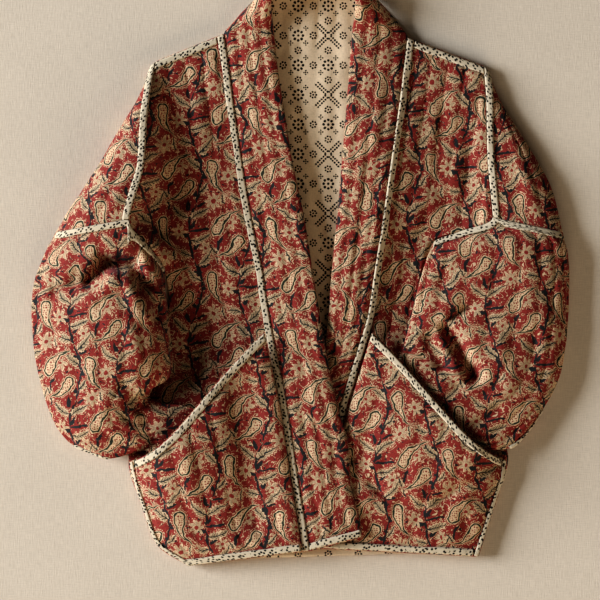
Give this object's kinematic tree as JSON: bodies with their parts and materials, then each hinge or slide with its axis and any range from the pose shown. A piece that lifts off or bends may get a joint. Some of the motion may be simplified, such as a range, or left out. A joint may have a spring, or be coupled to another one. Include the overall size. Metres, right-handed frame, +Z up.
{
  "type": "quilted kimono jacket",
  "caption": "Quilted kimono-style jacket lying flat on its back, open neck band from hem to hem, dropped sleeves bent with their ends tucked into large slanted pockets, bound seams.",
  "frame": {"origin": "on the surface the jacket lies on, at the middle of its overall box", "axes": "+Z up from the surface, +Y from the hem to the collar, +X to the wearer's left"},
  "size_m": [0.6704, 0.7482, 0.0606],
  "materials": {
    "quilted_print": "matte quilted cotton with a block print",
    "binding_print": "matte cotton with a dotted print",
    "lining_print": "matte cotton with a dotted print"
  },
  "bodies": {
    "root": {"back": "quilted_print", "back_lining": "lining_print", "front_right": "quilted_print", "front_left": "quilted_print", "shoulder_panel_right": "quilted_print", "shoulder_panel_left": "quilted_print", "sleeve_right": "quilted_print", "sleeve_left": "quilted_print", "pocket_right": "quilted_print", "pocket_left": "quilted_print", "neck_band": "quilted_print", "band_binding_right": "binding_print", "band_binding_left": "binding_print", "shoulder_binding_right": "binding_print", "shoulder_binding_left": "binding_print", "armhole_binding_right": "binding_print", "armhole_binding_left": "binding_print", "sleeve_binding_right": "binding_print", "sleeve_binding_left": "binding_print", "under_seam_binding_right": "binding_print", "under_seam_binding_left": "binding_print", "pocket_binding_right": "binding_print", "pocket_binding_left": "binding_print", "side_binding_right": "binding_print", "side_binding_left": "binding_print", "hem_binding_right": "binding_print", "hem_binding_left": "binding_print", "hem_binding_band": "binding_print"}
  },
  "joints": []
}
